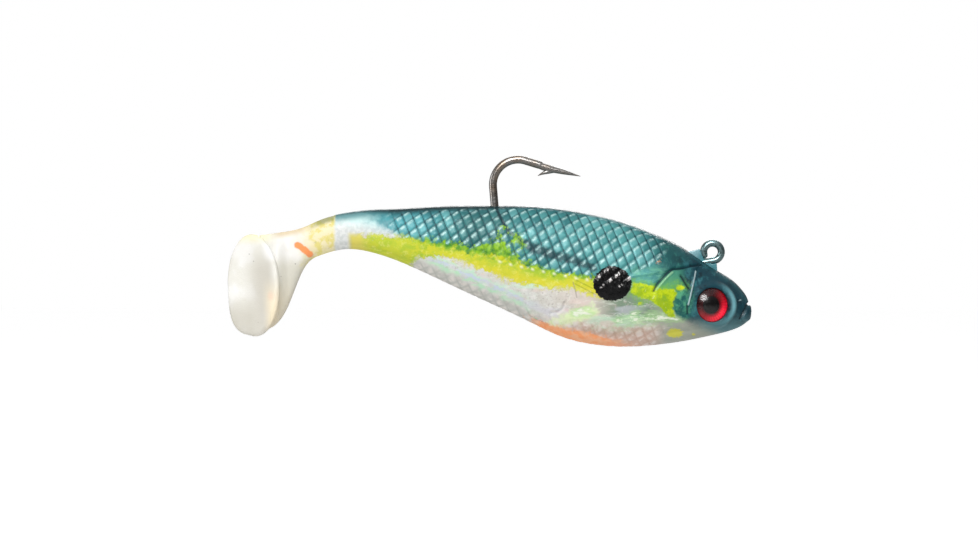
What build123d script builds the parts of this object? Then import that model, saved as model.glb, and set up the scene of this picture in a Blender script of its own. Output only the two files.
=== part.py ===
"""Pre-rigged soft swimbait: a cast soft-plastic fish on a jig hook, with inner ballast, foil and glued eyes.

Frame: millimetres, +X towards the nose, +Z towards the hook point, Y across the fish.
The origin is the centre of the hook's line-tie eye. The casting is one flexible piece; here it is
four rigid segments joined by upright hinges, which stand in for the way the soft plastic bends.
"""
import os
from math import cos, radians, sin

from build123d import *

# --- driving dimensions ---------------------------------------------------------------------
WIRE_R = 0.70                 # hook wire
EYE_RING_R = 1.72             # line-tie eye, to the middle of the wire
LINE_TIE_R = 1.08             # finished hole in that eye
HINGE_GAP = 0.30              # clearance all round each hinge knuckle
TALL = 60.0                   # longer than the fish is high, for cuts right through it

# One row per section of the casting: x, top, bottom, half width.
SECTIONS = [
    (7.6, -10.6, -12.9, 1.0),
    (6.7, -8.8, -13.7, 2.2),
    (5.0, -6.7, -14.8, 3.4),
    (2.4, -4.8, -15.7, 4.5),
    (-1.0, -2.9, -16.4, 5.4),
    (-6.0, 0.8, -17.4, 6.2),
    (-12.0, 3.7, -18.2, 6.8),
    (-18.0, 5.9, -18.4, 7.0),
    (-24.0, 7.4, -17.8, 6.9),
    (-30.0, 8.4, -16.3, 6.5),
    (-36.0, 8.9, -13.4, 5.9),
    (-44.0, 9.0, -9.6, 5.0),
    (-53.0, 8.8, -5.5, 4.0),
    (-61.0, 8.4, -1.9, 3.2),
    (-67.0, 8.2, 0.1, 2.7),
    (-72.0, 7.6, 0.5, 2.3),
    (-76.5, 6.2, -0.7, 2.05),
    (-80.0, 4.8, -3.9, 2.0),
    (-83.0, 4.1, -11.2, 1.9),
    (-86.0, 3.7, -14.9, 1.7),
    (-89.0, 3.3, -15.8, 1.2),
]

# Hinges in the soft plastic: where each stands along the fish, and its knuckle's radius.
REAR_HINGE = (-52.0, 4.4)
WRIST_HINGE = (-67.0, 3.0)
PADDLE_HINGE = (-78.5, 2.3)

# The paddle is an oval, turned on its stem towards the fish's right side.
PADDLE_CENTRE = (-89.45, 0.0, -6.5)
PADDLE_HALF = (7.3, 10.1)     # half its width, half its height
PADDLE_THICK = 2.2
PADDLE_RIM_R = 0.9
PADDLE_TURN = 48.0            # away from square across the fish
PADDLE_LEAN = 6.0             # top edge towards the tail

EYE_CENTRE_X, EYE_CENTRE_Z = -0.6, -10.3
EYE_R = 3.4
EYE_OUT = 4.1                 # how far the iris disc's back is from the fish's middle
EYE_TURN = 18.0               # the eyes look a little forwards
IRIS_THICK = 0.4
LENS_HIGH = 1.35

FOIL_THICK = 0.3
FOIL_FRONT_Y, FOIL_TURN = 4.6, 3.2

os.makedirs("parts", exist_ok=True)


def save(builder, name):
    """Labels a finished piece and writes it as its own file."""
    builder.part.label = name
    export_step(builder.part, f"parts/{name}.step")


# --- jig hook -------------------------------------------------------------------------------
NECK = (-3.4, -2.3)           # where the shank dives into the head
KNEE = (-9.2, -7.4)           # low bend inside the ballast
HEEL = (-42.0, 2.85)          # start of the hook's bend
CROWN = (-43.4, 19.9)         # corner of the bend, above the back
POINT_BASE = (-31.0, 16.15)   # where the wire starts to taper
POINT_TIP = (-25.9, 14.8)
TIP_R = 0.06
BARB = [(-33.2, 15.9), (-34.2, 14.85), (-32.6, 15.2), (-30.4, 15.5)]
BARB_THICK = 0.6


def side(point):
    """A point of the fish's middle plane, given as x and z."""
    return (point[0], 0.0, point[1])


point_way = Vector(POINT_TIP[0] - POINT_BASE[0], 0, POINT_TIP[1] - POINT_BASE[1])

with BuildPart() as jig_hook:
    with BuildLine() as shank_path:
        FilletPolyline(
            side((0.0, -EYE_RING_R)), side(NECK), side(KNEE), side(HEEL), side(CROWN), side(POINT_BASE),
            radius=(3.0, 3.0, 9.0, 4.8),
        )
    with BuildSketch(Plane(origin=side((0.0, -EYE_RING_R)), z_dir=shank_path.line % 0)):
        Circle(WIRE_R)
    sweep(path=shank_path.line)
    with BuildSketch(Plane(origin=side((EYE_RING_R, 0.0)), z_dir=(0, 0, 1))):
        Circle(WIRE_R)
    revolve(axis=Axis.Y, revolution_arc=360)
    with BuildSketch(Plane(origin=side(POINT_BASE), z_dir=shank_path.line % 1)):
        Circle(WIRE_R)
    with BuildSketch(Plane(origin=side(POINT_TIP), z_dir=point_way)):
        Circle(TIP_R)
    loft()
    with BuildSketch(Plane.XZ):
        with BuildLine():
            Polyline([(x, z) for x, z in BARB], close=True)
        make_face()
    extrude(amount=BARB_THICK / 2, both=True)
    with BuildSketch(Plane.XZ):
        Circle(LINE_TIE_R)
    extrude(amount=2 * WIRE_R, both=True, mode=Mode.SUBTRACT)

# --- ballast cast round the shank -----------------------------------------------------------
BALLAST_LONG, BALLAST_R = 20.0, 3.6
BALLAST_FRONT = (0.0, -9.8)
BALLAST_RISE = 10.0           # its tail end sits this many degrees above level
BALLAST_PROFILE = [(0.0, 0.3), (0.15, 0.72), (0.42, 1.0), (0.72, 0.8), (1.0, 0.28)]   # share of length, of radius

with BuildPart() as ballast:
    ballast_way = Vector(-cos(radians(BALLAST_RISE)), 0, sin(radians(BALLAST_RISE)))
    for along, girth in BALLAST_PROFILE:
        middle = Vector(*side(BALLAST_FRONT)) + ballast_way * (along * BALLAST_LONG)
        with BuildSketch(Plane(origin=middle, z_dir=ballast_way)):
            Circle(girth * BALLAST_R)
    loft()
    add(jig_hook.part, mode=Mode.SUBTRACT)

# --- holographic foil, one sheet each side ---------------------------------------------------
FOIL_TOP = [(0.0, -4.5), (-16.0, -2.6), (-39.0, 2.6)]
FOIL_BOTTOM = [(-39.0, 2.6), (-36.0, -4.2), (-16.0, -12.2), (0.0, -9.5)]


def foil_sheet(sign):
    """A die-cut sheet beside the ballast, closing in towards the tail. sign is 1 on the left, -1 on the right."""
    turn = radians(FOIL_TURN)
    along = Vector(cos(turn), sign * sin(turn), 0)
    out = Vector(0, 0, 1).cross(along)
    with BuildPart() as sheet:
        with BuildSketch(Plane(origin=(-6.0, sign * FOIL_FRONT_Y, 0), x_dir=along, z_dir=-out)):
            with BuildLine():
                Spline(*FOIL_TOP)
                Spline(*FOIL_BOTTOM)
                Line(FOIL_BOTTOM[-1], FOIL_TOP[0])
            make_face()
        extrude(amount=FOIL_THICK / 2, both=True)
    return sheet


foil_left = foil_sheet(1)
foil_right = foil_sheet(-1)


# --- eyes ------------------------------------------------------------------------------------
def eye_plane(sign, out=0.0):
    """The plane of an eye, moved out along its own axis. sign is 1 on the left, -1 on the right."""
    turn = radians(EYE_TURN)
    look = Vector(sin(turn), sign * cos(turn), 0)
    centre = Vector(EYE_CENTRE_X, sign * EYE_OUT, EYE_CENTRE_Z)
    return Plane(origin=centre + look * out, z_dir=look)


def iris_disc(sign):
    """The printed foil disc at the bottom of an eye socket."""
    with BuildPart() as disc:
        with BuildSketch(eye_plane(sign)):
            Circle(EYE_R)
        extrude(amount=IRIS_THICK)
    return disc


def lens_dome(sign):
    """The clear resin dome over an iris disc: a flat-backed cap of a ball."""
    ball_r = (EYE_R**2 + LENS_HIGH**2) / (2 * LENS_HIGH)
    base = eye_plane(sign, IRIS_THICK)
    with BuildPart() as dome:
        with BuildSketch(Plane(origin=base.origin, x_dir=(0, 0, 1), z_dir=Vector(0, 0, 1).cross(base.z_dir))):
            with BuildLine():
                Line((0, 0), (EYE_R, 0))
                RadiusArc((EYE_R, 0), (0, LENS_HIGH), -ball_r)
                Line((0, LENS_HIGH), (0, 0))
            make_face()
        revolve(axis=Axis(base.origin, base.z_dir))
    return dome


iris_left, iris_right = iris_disc(1), iris_disc(-1)
lens_left, lens_right = lens_dome(1), lens_dome(-1)

# --- the whole casting, before it is split into segments --------------------------------------
LUG = [(-6.2, 0.2), (-4.2, 0.2), (-1.8, -1.4), (1.1, -2.5), (1.4, -5.0), (-6.2, -3.0)]
LUG_THICK = 1.5
SOCKET_DEEP = 6.0

with BuildPart() as paddle:
    turn = radians(PADDLE_TURN)
    rear_way = Vector(-cos(turn), -sin(turn), 0)
    with BuildSketch(Plane(origin=PADDLE_CENTRE, x_dir=Vector(0, 0, 1).cross(rear_way), z_dir=rear_way)):
        Ellipse(*PADDLE_HALF, rotation=PADDLE_LEAN)
    extrude(amount=PADDLE_THICK / 2, both=True)
    fillet(paddle.edges(), radius=PADDLE_RIM_R)

with BuildPart() as casting:
    for x, top, bottom, half_width in SECTIONS:
        with BuildSketch(Plane(origin=(x, 0, (top + bottom) / 2), x_dir=(0, 1, 0), z_dir=(1, 0, 0))):
            Ellipse(half_width, (top - bottom) / 2)
    loft()
    with BuildSketch(Plane.XZ):
        with BuildLine():
            Polyline(LUG, close=True)
        make_face()
    extrude(amount=LUG_THICK / 2, both=True)
    add(paddle.part)


def segment(front, rear):
    """The casting between two hinges: a knuckle at its front end, a cup for the next knuckle at its rear."""
    ahead = front[0] if front else 20.0
    behind = rear[0] if rear else -110.0
    with BuildPart() as piece:
        add(casting.part)
        with BuildSketch(Plane.XY.offset(-TALL / 2)):
            with Locations(((ahead + behind) / 2, 0)):
                Rectangle(ahead - behind, TALL)
            if front:
                with Locations((front[0], 0)):
                    Circle(front[1])
            if rear:
                with Locations((rear[0], 0)):
                    Circle(rear[1] + HINGE_GAP, mode=Mode.SUBTRACT)
        extrude(amount=TALL, mode=Mode.INTERSECT)
    return piece


with BuildPart() as trunk_casting:
    add(segment(None, REAR_HINGE).part)
    for inner in (jig_hook, ballast, foil_left, foil_right):
        add(inner.part, mode=Mode.SUBTRACT)
    for sign in (1, -1):
        with BuildSketch(eye_plane(sign)):
            Circle(EYE_R)
        extrude(amount=SOCKET_DEEP, mode=Mode.SUBTRACT)

rear_casting = segment(REAR_HINGE, WRIST_HINGE)
wrist_casting = segment(WRIST_HINGE, PADDLE_HINGE)
paddle_casting = segment(PADDLE_HINGE, None)

# --- files -----------------------------------------------------------------------------------
for piece_name, piece in {
    "trunk_casting": trunk_casting,
    "rear_casting": rear_casting,
    "wrist_casting": wrist_casting,
    "paddle_casting": paddle_casting,
    "jig_hook": jig_hook,
    "ballast": ballast,
    "foil_left": foil_left,
    "foil_right": foil_right,
    "iris_left": iris_left,
    "iris_right": iris_right,
    "lens_left": lens_left,
    "lens_right": lens_right,
}.items():
    save(piece, piece_name)
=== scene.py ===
"""The looks of a soft swimbait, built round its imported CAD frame.

Shapes are worked out in millimetres in the row frame (+X nose, +Y the fish's left, +Z up, origin at the
line-tie eye) and become metres when a mesh is made. Every mark on the fish is a function of its place on
the rest shape, stored on the mesh, so paint and relief stay put when the tail bends.
"""
from math import cos, pi, radians, sin

import bmesh
import bpy
import numpy as np
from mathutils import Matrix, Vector, noise


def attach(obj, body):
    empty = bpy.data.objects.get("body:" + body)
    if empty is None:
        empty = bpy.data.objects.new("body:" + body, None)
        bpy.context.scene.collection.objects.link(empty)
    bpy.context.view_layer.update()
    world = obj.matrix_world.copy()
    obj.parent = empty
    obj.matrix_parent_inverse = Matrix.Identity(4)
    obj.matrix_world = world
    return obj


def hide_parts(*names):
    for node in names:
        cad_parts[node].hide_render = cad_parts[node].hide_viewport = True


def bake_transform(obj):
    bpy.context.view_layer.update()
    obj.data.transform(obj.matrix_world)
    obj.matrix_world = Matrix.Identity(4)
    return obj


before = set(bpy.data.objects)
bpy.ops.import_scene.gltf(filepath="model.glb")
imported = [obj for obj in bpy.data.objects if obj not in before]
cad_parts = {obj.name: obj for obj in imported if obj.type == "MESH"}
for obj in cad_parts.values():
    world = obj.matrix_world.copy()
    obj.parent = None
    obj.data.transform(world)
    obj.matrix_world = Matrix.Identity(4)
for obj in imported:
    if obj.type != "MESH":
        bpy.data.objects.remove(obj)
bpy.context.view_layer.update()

MM = 0.001

# --- the casting's outline: x, top, bottom, half width ----------------------------------------
OUTLINE = [
    (7.25, -11.6, -11.6, 0.0),
    (7.10, -10.4, -12.8, 1.1),
    (6.60, -8.75, -13.7, 2.1),
    (5.50, -7.2, -14.5, 3.1),
    (4.30, -5.95, -15.05, 3.8),
    (2.40, -4.6, -15.65, 4.5),
    (-1.0, -2.5, -16.45, 5.4),
    (-6.0, 0.9, -17.45, 6.2),
    (-12.0, 3.75, -18.2, 6.8),
    (-18.0, 5.95, -18.45, 7.0),
    (-24.0, 7.4, -17.9, 6.9),
    (-30.0, 8.4, -16.3, 6.5),
    (-36.0, 8.9, -13.45, 5.9),
    (-44.0, 9.0, -9.7, 5.0),
    (-53.0, 8.85, -5.5, 4.0),
    (-61.0, 8.4, -1.9, 3.2),
    (-67.0, 8.15, 0.05, 2.7),
    (-72.0, 7.5, 0.5, 2.3),
    (-76.5, 6.3, -0.7, 2.05),
    (-80.0, 4.8, -3.9, 1.9),
    (-83.0, 4.1, -11.2, 1.7),
    (-86.0, 3.7, -14.9, 1.4),
    (-89.0, 3.3, -15.8, 1.0),
]
BELLY_FULLER = 0.10          # how much wider than the back the belly is
REAR_SEAM, TAIL_SEAM = -60.5, -73.7     # where one skin ends and the next begins
STEP = 0.18                  # between rings
AROUND = 264                 # points in a ring

EYE_PLACE = (-0.6, 4.1, -10.3)
EYE_TURN = 18.0              # towards the nose
EYE_R = 3.4
IRIS_THICK, LENS_HIGH = 0.4, 1.35

PADDLE_CENTRE = (-89.45, 0.0, -6.5)
PADDLE_HALF = (7.25, 10.1)
PADDLE_TURN, PADDLE_LEAN = 48.0, 6.0
PADDLE_FULLER = 0.13         # how much further its lower rear corner reaches

LATERAL = [
    (-74.0, 3.6), (-64.0, 3.1), (-51.0, 1.7), (-41.5, -1.2), (-31.7, -3.4), (-22.0, -5.0), (-12.0, -4.6),
    (8.0, -4.0),
]


# --- small mathematics --------------------------------------------------------------------------
def spline(knots, values):
    """A natural cubic through values at knots, as a function of an array of places."""
    t, y = np.asarray(knots, float), np.asarray(values, float)
    gap = np.diff(t)
    system, pull = np.eye(len(t)), np.zeros_like(y)
    for i in range(1, len(t) - 1):
        system[i, i - 1 : i + 2] = gap[i - 1], 2 * (gap[i - 1] + gap[i]), gap[i]
        pull[i] = 6 * ((y[i + 1] - y[i]) / gap[i] - (y[i] - y[i - 1]) / gap[i - 1])
    bend = np.linalg.solve(system, pull)

    def at(s):
        s = np.asarray(s, float)
        i = np.clip(np.searchsorted(t, s) - 1, 0, len(gap) - 1)
        shape = s.shape + (1,) * (y.ndim - 1)
        h, a, b = (v.reshape(shape) for v in (gap[i], t[i + 1] - s, s - t[i]))
        cubic = (bend[i] * a**3 + bend[i + 1] * b**3) / (6 * h)
        return cubic + (y[i] / h - bend[i] * h / 6) * a + (y[i + 1] / h - bend[i + 1] * h / 6) * b

    return at


def ease(low, high, value):
    """0 before low, 1 after high, smooth between; low may be the larger."""
    t = np.clip((value - low) / (high - low), 0, 1)
    return t * t * (3 - 2 * t)


def hump(centre, half, value):
    """1 at centre, 0 beyond half on either side."""
    return 1 - ease(0, half, np.abs(value - centre))


def to_line(x, z, points):
    """Distance from each place to a polyline, and how far along it (0 to 1) the nearest point is."""
    best, share = np.full(x.shape, 1e9), np.zeros(x.shape)
    runs = len(points) - 1
    for i, ((ax, az), (bx, bz)) in enumerate(zip(points, points[1:])):
        dx, dz = bx - ax, bz - az
        t = np.clip(((x - ax) * dx + (z - az) * dz) / (dx * dx + dz * dz), 0, 1)
        d = np.hypot(x - ax - t * dx, z - az - t * dz)
        nearer = d < best
        best, share = np.where(nearer, d, best), np.where(nearer, (i + t) / runs, share)
    return best, share


def inside(x, z, points):
    """Signed distance to a closed outline, positive inside it."""
    d, _ = to_line(x, z, points + points[:1])
    odd = np.zeros(x.shape, bool)
    for (ax, az), (bx, bz) in zip(points, points[1:] + points[:1]):
        odd ^= ((az > z) != (bz > z)) & (x < (bx - ax) * (z - az) / ((bz - az) or 1e-9) + ax)
    return np.where(odd, d, -d)


def oval(x, z, centre, half, tilt=0.0):
    """Roughly the signed distance to an oval, positive inside it."""
    c, s = cos(radians(tilt)), sin(radians(tilt))
    u, v = x - centre[0], z - centre[1]
    r = np.hypot((u * c + v * s) / half[0], (v * c - u * s) / half[1])
    return (1 - r) * min(half)


# --- the casting's surface ----------------------------------------------------------------------
rows = np.array(OUTLINE)
run = np.concatenate([[0], np.cumsum(np.linalg.norm(np.diff(rows[:, [0, 1, 3]], axis=0), axis=1))])
outline_at = spline(run, rows)


def ring_angles(count):
    """Angles round a ring, from the right flank, closer together on flanks and back than on the belly."""
    fine = np.linspace(0, 2 * pi, 2001)
    speed = np.hypot(6.0 * np.sin(fine), 11.0 * np.cos(fine)) * (1 - 0.4 * ease(-0.45, -0.95, np.sin(fine)))
    length = np.concatenate([[0], np.cumsum((speed[1:] + speed[:-1]) / 2)])
    return np.interp(np.arange(count) / count * length[-1], length, fine)


def section_points(stations, angles):
    """Points of the smooth casting, one ring for each station, and the height of each ring's middle."""
    x, top, bottom, half = outline_at(stations).T[:, :, None]
    middle, tall = (top + bottom) / 2, (top - bottom) / 2
    half = np.maximum(half, 0)
    sine, cosine = np.sin(angles)[None], np.cos(angles)[None]
    y = -half * cosine * (1 - BELLY_FULLER * sine)
    z = middle + tall * sine
    return np.stack([np.broadcast_to(x, y.shape), y, z], 2), middle, tall, half


def unrolled(angles, middle, tall, half):
    """Height of each point if its flank were laid flat, and the same for the back's ridge."""
    quarter = np.linspace(0, pi / 2, 65)
    step = np.hypot(np.diff(np.cos(quarter)) * half, np.diff(np.sin(quarter)) * tall)
    length = np.concatenate([np.zeros((len(step), 1)), np.cumsum(step, 1)], 1)
    lift = np.arcsin(np.abs(np.sin(angles)))
    laid = np.array([np.interp(lift, quarter, row) for row in length])
    return middle + np.sign(np.sin(angles))[None] * laid, middle + length[:, -1:]


def grid_normals(points):
    """Outward normals of a grid of rings that closes round its second direction."""
    along = np.gradient(points, axis=0)
    around = np.roll(points, -1, 1) - np.roll(points, 1, 1)
    n = np.cross(around, along)
    return n / np.maximum(np.linalg.norm(n, axis=2, keepdims=True), 1e-9)


# --- relief: everything moulded into the casting ------------------------------------------------
SCALE_WIDE, SCALE_HIGH = 1.906, 1.89      # of one scale, along the fish and up the flank
SCALE_LEAN, SCALE_RISE = 69.7, 37.85      # slopes of the two families of grooves
SCALE_START = (0.29, -0.39)               # shares of a scale that the pattern is moved by
SCALE_DEEP, BELLY_DEEP = 0.19, 0.07
GILL = [(-2.2, -2.4), (-4.9, -2.85), (-6.6, -3.25), (-8.1, -3.35), (-9.3, -4.2), (-11.2, -6.3), (-11.9, -7.6)]
GILL_LIP = [(-8.3, -4.05), (-9.7, -5.3), (-11.4, -7.3)]
CHEEK_RIDGE = [(-3.7, -3.9), (-5.2, -10.2)]
CHEEK_SLIT = [(-6.6, -4.8), (-5.15, -7.2)]
CHEEK_BACK = [(-5.4, -10.5), (-5.3, -12.0)]
SIDE_RIDGE = [(-16.0, -4.7), (-13.2, -4.3), (-10.2, -3.75), (-8.2, -3.2)]
FIN = [
    (-27.2, -6.6), (-25.6, -7.9), (-22.8, -9.0), (-19.8, -9.8), (-15.0, -9.1), (-12.6, -10.0),
    (-13.6, -14.2), (-19.0, -14.4), (-24.5, -13.0), (-27.0, -10.2),
]
FIN_ROOT = (-9.0, -10.5)
FIN_TUCK = [(-28.9, -9.8), (-29.3, -11.0), (-30.5, -11.8), (-31.6, -11.9)]
NOSTRIL = (5.0, -9.5)
MOUTH = [(8.5, -9.9), (6.75, -10.15), (6.1, -11.4), (5.15, -13.1)]
LATERAL_DOTS = (-41.5, -19.0, 2.1)        # first, last and the gap between them
MOULDED_LINES = [             # line, half its width, how far it stands out
    (FIN_TUCK, 0.5, -0.20),
    (GILL, 0.42, -0.34),
    (GILL_LIP, 0.4, 0.10),
    (CHEEK_RIDGE, 0.38, 0.30),
    (CHEEK_SLIT, 0.42, -0.30),
    (CHEEK_BACK, 0.5, -0.20),
    (SIDE_RIDGE, 0.5, 0.14),
    (MOUTH, 0.42, -0.45),
]
FACET_HASH = (12.9898, 78.233, 43758.5453)  # turns a scale's row numbers into a chance from 0 to 1
MADE = ("dome", "crisp", "soft", "crest", "steep", "facet", "dots")   # relief amounts that paint follows


def scale_cell(x, laid):
    """Where each place is in its scale, two numbers from 0 to 1, and the scale's two whole row numbers."""
    lean, rise = np.tan(radians(SCALE_LEAN)), np.tan(radians(SCALE_RISE))
    p = (x + laid / lean) / SCALE_WIDE + SCALE_START[0]
    q = (laid - x * rise) / (SCALE_HIGH * (1 + rise / lean)) + SCALE_START[1]
    return p - np.floor(p), q - np.floor(q), np.floor(p), np.floor(q)


AHEAD = [                     # the bare head, in front of the scales
    (-6.0, 30.0), (-8.2, 2.0), (-9.8, -2.4), (-16.0, -4.7), (-16.0, -30.0), (30.0, -30.0), (30.0, 30.0),
]


def scaled_area(x, z, back, low):
    """How strongly the scales are cut at each place: crisp on the upper flank, soft along the belly."""
    lateral = spline(*zip(*LATERAL))(x)
    ahead = inside(x, z, AHEAD)
    band = np.interp(x, [-60, -40, -30, -12], [1.5, 1.6, 1.7, 2.0])
    crisp = ease(-1.2, 0.0, z - lateral) * ease(0.0, 0.8, back - band)
    crisp *= ease(0.0, -1.2, ahead) * ease(-64.5, -60.5, x)
    reach = np.interp(x, [-62, -50, -34, -26, -12], [1.2, 2.0, 2.4, 4.2, 4.0])
    soft = ease(reach + 0.5, reach - 0.5, z - low) * ease(-64.0, -58.0, x) * ease(-8.0, -12.0, x)
    return crisp, soft


def relief(x, z, laid, ridge):
    """How far each place stands out of the smooth casting, and the amounts that paint follows."""
    p, q, row_p, row_q = scale_cell(x, laid)
    dome = (1 - np.abs(2 * p - 1) ** 5) * (1 - np.abs(2 * q - 1) ** 4)
    low = lowest(x)
    crisp, soft = scaled_area(x, z, ridge - laid, low)
    on_fin = ease(-0.3, 0.7, inside(x, z, FIN))
    soft = soft * (1 - on_fin)
    crest = hump(0.80, 0.24, q) * ease(0.06, 0.3, p) * ease(0.96, 0.7, p)
    out = SCALE_DEEP * crisp * (dome + 0.2 * crest - 0.6) + BELLY_DEEP * soft * (dome - 0.5)

    turn = np.arctan2(z - FIN_ROOT[1], FIN_ROOT[0] - x)
    reach = np.hypot(z - FIN_ROOT[1], FIN_ROOT[0] - x)
    out += on_fin * (0.07 + 0.02 * np.sin(turn * 60) * ease(4, 9, reach))

    start, end, gap = LATERAL_DOTS
    lateral = spline(*zip(*LATERAL))(x) - 0.75
    nearest = start + gap * np.clip(np.round((x - start) / gap), 0, round((end - start) / gap))
    dots = hump(0, 0.55, np.hypot(x - nearest, (z - lateral) * 1.3))
    out += 0.14 * dots * (1 - on_fin)

    cover = inside(x, z, GILL + [(-11.5, -10.5), (-8.5, -13.5), (-5.0, -12.5), (-3.7, -3.9)])
    out += 0.30 * ease(-0.05, 0.5, cover) * ease(-11.0, -7.0, z)
    for line, half, high in MOULDED_LINES:
        out += high * hump(0, half, to_line(x, z, line)[0])

    nose = np.hypot(x - NOSTRIL[0], z - NOSTRIL[1])
    hole = np.hypot(x - NOSTRIL[0] + 0.25, z - NOSTRIL[1] - 0.05)
    out += 0.22 * hump(0, 0.8, nose) - 0.36 * hump(0, 0.36, hole)
    lip = inside(x, z, MOUTH + [(6.6, -13.7), (9.0, -13.0)])
    out += 0.32 * ease(-0.1, 0.7, lip)
    back = ridge - laid
    out += 0.10 * hump(2.45, 0.35, back) * ease(-54, -50, x) * ease(-30, -36, x)
    out += 0.05 * hump(0, 0.35, back)
    steep = ease(0.18, 0.04, np.minimum(p, 1 - p))
    chance = np.sin(FACET_HASH[0] * row_p + FACET_HASH[1] * row_q) * FACET_HASH[2]
    facet = 2 * (chance - np.floor(chance)) - 1
    return out, dict(zip(MADE, (dome, crisp, soft, crest, steep, facet, dots)))


def eye_frame(sign):
    """Centre, axis, forward and up of an eye. sign is 1 on the left, -1 on the right."""
    turn = radians(EYE_TURN)
    centre = np.array([EYE_PLACE[0], sign * EYE_PLACE[1], EYE_PLACE[2]])
    look = np.array([sin(turn), sign * cos(turn), 0.0])
    ahead = np.array([cos(turn), -sign * sin(turn), 0.0])
    return centre, look, ahead, np.array([0.0, 0.0, 1.0])


ORBIT_R, ORBIT_HIGH = 4.25, 0.42
SOCKET_R, SOCKET_DEEP = 3.36, 1.1


def sink_eyes(points, normals):
    """Raises a rim round each eye and sinks its socket below the iris disc."""
    for sign in (1, -1):
        centre, look, ahead, up = eye_frame(sign)
        away = points - centre
        u, v, w = away @ ahead, away @ up, away @ look
        r = np.hypot(u, v)
        near = (r < 8) & (np.sign(points[..., 1]) == sign)
        front = ease(-0.4, 0.9, u / np.maximum(r, 0.1))
        rim = ORBIT_HIGH * front * hump(ORBIT_R, 0.95, r) * near
        points += normals * rim[..., None]
        base = IRIS_THICK + 0.12
        flat = (w - base - np.hypot(w - base, 0.35)) / 2 * ease(ORBIT_R + 0.5, SOCKET_R + 0.1, r)
        points -= look * (flat * near)[..., None]
        sink = ease(SOCKET_R, SOCKET_R - 0.45, r) * near
        w = (points - centre) @ look
        points -= look * (sink * (w - base + SOCKET_DEEP))[..., None]
        wall = near & (r < SOCKET_R) & (r > SOCKET_R - 0.45)
        stretch = np.where(wall, SOCKET_R / np.maximum(r, 0.1) - 1, 0) * 0.9
        points += (ahead * u[..., None] + up * v[..., None]) * stretch[..., None]


# --- marks that the paint reads -------------------------------------------------------------------
STRIPE_TOP = [
    (-70.6, 3.25), (-66.7, 3.2), (-61.3, 3.0), (-56.0, 2.4), (-53.5, 1.9), (-50.6, 2.1), (-47.2, 0.9),
    (-44.9, 1.3), (-42.2, 1.9), (-40.8, 1.6), (-39.5, 0.1), (-37.7, -1.4), (-35.3, -2.5), (-31.5, -3.6),
    (-26.5, -4.5), (-22.0, -4.8),
]
STRIPE_LOW = [
    (-22.0, -8.8), (-25.4, -7.7), (-27.6, -7.0), (-31.4, -7.1), (-34.4, -6.4), (-37.4, -6.1), (-41.6, -4.7),
    (-45.8, -3.2), (-48.8, -1.7), (-53.6, -0.8), (-57.7, -1.2), (-59.5, -3.5), (-70.4, -1.5),
]
GREEN_LINE = [
    (-76.0, 6.0), (-60.0, 3.6), (-56.0, 1.6), (-50.0, 0.6), (-45.5, -0.6), (-40.0, -1.2), (-36.0, -2.7),
    (-31.5, -3.9), (-24.0, -4.7),
]
GREEN_DRIPS = [(-40.5, 4.3, 0.35), (-38.7, 2.7, 0.5), (-41.4, 3.0, 0.4), (-37.2, 0.9, 0.4)]
BLOB = [
    (-16.5, -8.0), (-15.9, -5.9), (-14.1, -6.0), (-11.7, -6.6), (-10.2, -7.1), (-7.9, -7.2), (-7.3, -8.0),
    (-8.0, -9.4), (-8.0, -11.1), (-7.6, -12.8), (-8.9, -12.8), (-10.2, -11.5), (-11.1, -10.4),
    (-12.8, -9.4), (-14.5, -9.0),
]
BLOB_DABS = [
    (-6.8, -7.0, 1.0, 0.6), (-14.5, -10.0, 0.5, 0.42), (-7.6, -15.75, 1.75, 1.0), (-3.9, -16.1, 0.42, 0.34),
]
ORANGE_DASH = [(-80.9, 1.35), (-79.6, 0.55), (-78.5, -0.45)]
GLINTS = [
    [(-18.6, -13.3), (-15.0, -13.25), (-13.2, -12.85), (-10.6, -12.75), (-7.6, -12.9), (-6.5, -12.4)],
    [(-15.4, -12.15), (-15.3, -12.2)],
    [(-26.8, -12.1), (-24.2, -11.4)],
]
FILM_CREASE = [(-27.4, -5.9), (-27.0, -7.2), (-26.7, -8.8)]
SCORES = [[(-27.0, -6.2), (-23.4, -8.1)], [(-26.8, -5.5), (-23.6, -7.1)]]
FILM_GLOW = [(-31.0, -14.0), (-27.0, -12.6), (-24.0, -11.5)]
# path of the hook's shank inside, painted on the skin as a dark shadow line
SHANK = [
    (-42.4, 9.2), (-41.6, 7.0), (-40.6, 5.2), (-39.4, 3.6), (-37.4, 2.0), (-34.4, 0.4), (-31.0, -0.7),
    (-27.0, -1.8), (-23.5, -3.1),
]
SHANK_HALF = [(0, 0.25), (0.42, 0.3), (0.6, 0.85), (1, 0.5)]   # share of its length, half its line's width
SPOT, SPOT_HALF = (-19.85, -6.15), (3.7, 3.35)
TEAL_LOW = [
    (-73.5, 5.7), (-69.7, 5.3), (-66.7, 4.9), (-63.7, 4.2), (-62.2, 3.7), (-60.7, 3.0), (-58.0, 1.6),
    (-51.0, 0.6), (-45.0, -0.6), (-38.0, -2.8), (-31.7, -4.6), (-26.0, -5.4), (-17.0, -5.6), (-12.5, -7.2),
    (-9.0, -10.0), (-7.5, -12.2), (-5.8, -13.2), (-3.4, -14.2), (-0.6, -15.4), (3.1, -17.0), (8.0, -19.0),
]
FLECK, FLECK_HALF = (-10.8, -1.9), (0.42, 0.5)
DASH_HALF = 0.66
FLUSH = (-6.3, -9.6)          # middle of the green flush behind the cheek
ORBIT_MIDDLE = (EYE_PLACE[0] + 0.3, EYE_PLACE[2])
MARKED_LINES = {
    "gill": GILL,
    "gill_lip": GILL_LIP,
    "ridge": CHEEK_RIDGE,
    "mouth": MOUTH,
    "glow": FILM_GLOW,
    "film_crease": FILM_CREASE,
}


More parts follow.
